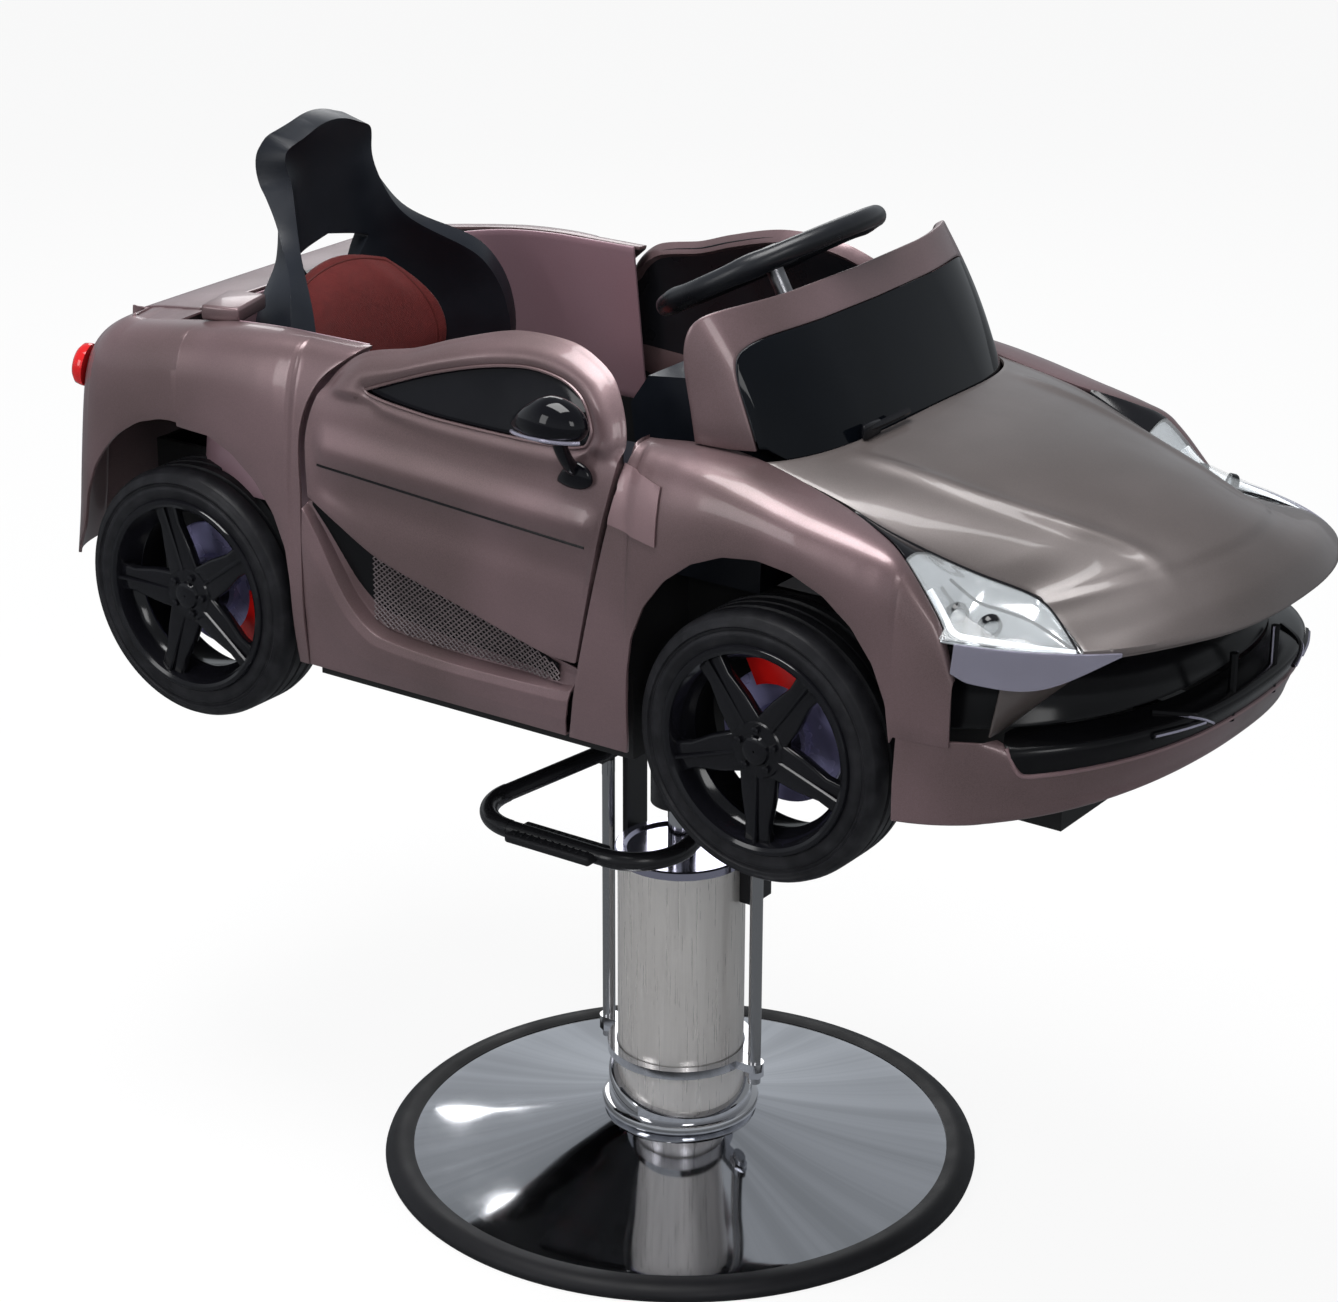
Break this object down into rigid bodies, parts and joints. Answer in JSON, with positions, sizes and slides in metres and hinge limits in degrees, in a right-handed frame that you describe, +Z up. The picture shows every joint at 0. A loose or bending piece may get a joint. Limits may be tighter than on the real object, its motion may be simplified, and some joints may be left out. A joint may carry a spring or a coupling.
{
  "type": "kids car barber chair",
  "caption": "Children's salon chair: an open toy sports car with a bucket seat, steering wheel and opening doors, on a round pump-lift base that turns.",
  "frame": {"origin": "centre of the base's underside, on the column's axis", "axes": "+Z up; the car points along -Y with the seat's back towards +Y; +X is the car's left"},
  "size_m": [0.667, 1.2282, 1.014],
  "materials": {
    "cast_iron": "rough",
    "chrome": "polished",
    "rubber": "matte",
    "steel": "satin",
    "black_metal": "satin",
    "black_plastic": "grained",
    "red": "gloss",
    "tyre": "matte",
    "gloss_black": "gloss",
    "body": "metallic bronze-mauve paint",
    "lamp": "clear lens",
    "trim": "silver",
    "screen": "tinted",
    "red_fabric": "woven"
  },
  "bodies": {
    "stand": {"base_weight": "cast_iron", "base_cover": "chrome", "base_rim": "rubber", "column_collar": "chrome", "column_sleeve": "chrome", "pump_cylinder": "steel", "cylinder_head": "chrome", "lever_bracket": "black_metal"},
    "lever": {"pump_lever": "black_metal", "lever_pad": "rubber"},
    "linkage": {"push_rods": "chrome", "pump_crosshead": "chrome"},
    "lift": {"piston_rod": "chrome", "swivel_hub": "black_metal"},
    "car": {"mounting_frame": "black_metal", "plate_bolts": "steel", "chassis_tub": "black_plastic", "front_axle": "black_metal", "rear_axle": "steel", "rear_calipers": "red", "front_fenders": "body", "hood": "body", "front_bumper": "body", "front_grille": "gloss_black", "headlights": "lamp", "headlight_trims": "trim", "rear_fenders": "body", "rear_deck": "body", "tail_lights": "red", "side_sills": "body", "scoop_grilles": "gloss_black", "cabin_liner": "body", "windshield_frame": "body", "windshield_glass": "screen", "dashboard": "black_plastic", "seat_shell": "black_plastic", "seat_back_pad": "red_fabric", "seat_base_pad": "red_fabric", "door_hinges": "black_metal"},
    "steering": {"steering_shaft": "steel", "steering_wheel": "black_plastic"},
    "track_rod": {"tie_rod": "black_metal"},
    "hub_left": {"knuckle_left": "black_metal", "front_caliper_left": "red"},
    "hub_right": {"knuckle_right": "black_metal", "front_caliper_right": "red"},
    "wheel_front_left": {"tyre_front_left": "tyre", "rim_front_left": "gloss_black"},
    "wheel_front_right": {"tyre_front_right": "tyre", "rim_front_right": "gloss_black"},
    "wheel_rear_left": {"tyre_rear_left": "tyre", "rim_rear_left": "gloss_black"},
    "wheel_rear_right": {"tyre_rear_right": "tyre", "rim_rear_right": "gloss_black"},
    "door_left": {"door_left": "body", "window_left": "gloss_black", "mirror_left": "gloss_black"},
    "door_right": {"door_right": "body", "window_right": "gloss_black", "mirror_right": "gloss_black"}
  },
  "joints": [
    {"name": "pump_lever", "type": "hinge", "parent": "stand", "child": "lever", "pos_m": [0.026, 0, 0.425], "axis": [0, -1, 0], "range_deg": [0, 15], "stiffness_Nm_per_rad": 18, "springref_deg": -6.88},
    {"name": "pump_rods", "type": "slide", "parent": "stand", "child": "linkage", "axis": [0, 0, -1], "range_m": [0, 0.0075]},
    {"name": "lift", "type": "slide", "parent": "stand", "child": "lift", "axis": [0, 0, 1], "range_m": [0, 0.15]},
    {"name": "swivel", "type": "hinge", "parent": "lift", "child": "car", "pos_m": [0, 0, 0.49], "axis": [0, 0, 1], "continuous": true},
    {"name": "steering", "type": "hinge", "parent": "car", "child": "steering", "pos_m": [0, -0.0948, 0.94693], "axis": [0, 0.4818, 0.8763], "range_deg": [-45, 45]},
    {"name": "track_rod", "type": "slide", "parent": "car", "child": "track_rod", "axis": [1, 0, 0], "range_m": [-0.0135, 0.0135]},
    {"name": "kingpin_left", "type": "hinge", "parent": "car", "child": "hub_left", "pos_m": [0.166, -0.256, 0.594], "axis": [0, 0, 1], "range_deg": [-14, 14]},
    {"name": "kingpin_right", "type": "hinge", "parent": "car", "child": "hub_right", "pos_m": [-0.166, -0.256, 0.594], "axis": [0, 0, 1], "range_deg": [-14, 14]},
    {"name": "spin_front_left", "type": "hinge", "parent": "hub_left", "child": "wheel_front_left", "pos_m": [0.227, -0.256, 0.594], "axis": [1, 0, 0], "continuous": true},
    {"name": "spin_front_right", "type": "hinge", "parent": "hub_right", "child": "wheel_front_right", "pos_m": [-0.227, -0.256, 0.594], "axis": [1, 0, 0], "continuous": true},
    {"name": "spin_rear_left", "type": "hinge", "parent": "car", "child": "wheel_rear_left", "pos_m": [0.227, 0.401, 0.594], "axis": [1, 0, 0], "continuous": true},
    {"name": "spin_rear_right", "type": "hinge", "parent": "car", "child": "wheel_rear_right", "pos_m": [-0.227, 0.401, 0.594], "axis": [1, 0, 0], "continuous": true},
    {"name": "door_left", "type": "hinge", "parent": "car", "child": "door_left", "pos_m": [0.254, -0.06481, 0.67], "axis": [0, 0.1991, -0.98], "range_deg": [0, 55]},
    {"name": "door_right", "type": "hinge", "parent": "car", "child": "door_right", "pos_m": [-0.254, -0.06481, 0.67], "axis": [0, -0.1991, 0.98], "range_deg": [0, 55]}
  ],
  "couplings": [
    {"joint": "pump_rods", "follows": "pump_lever", "m_per_rad": 0.026},
    {"joint": "track_rod", "follows": "steering", "m_per_rad": 0.0162},
    {"joint": "kingpin_left", "follows": "steering", "ratio": 0.2966},
    {"joint": "kingpin_right", "follows": "steering", "ratio": 0.2966}
  ]
}
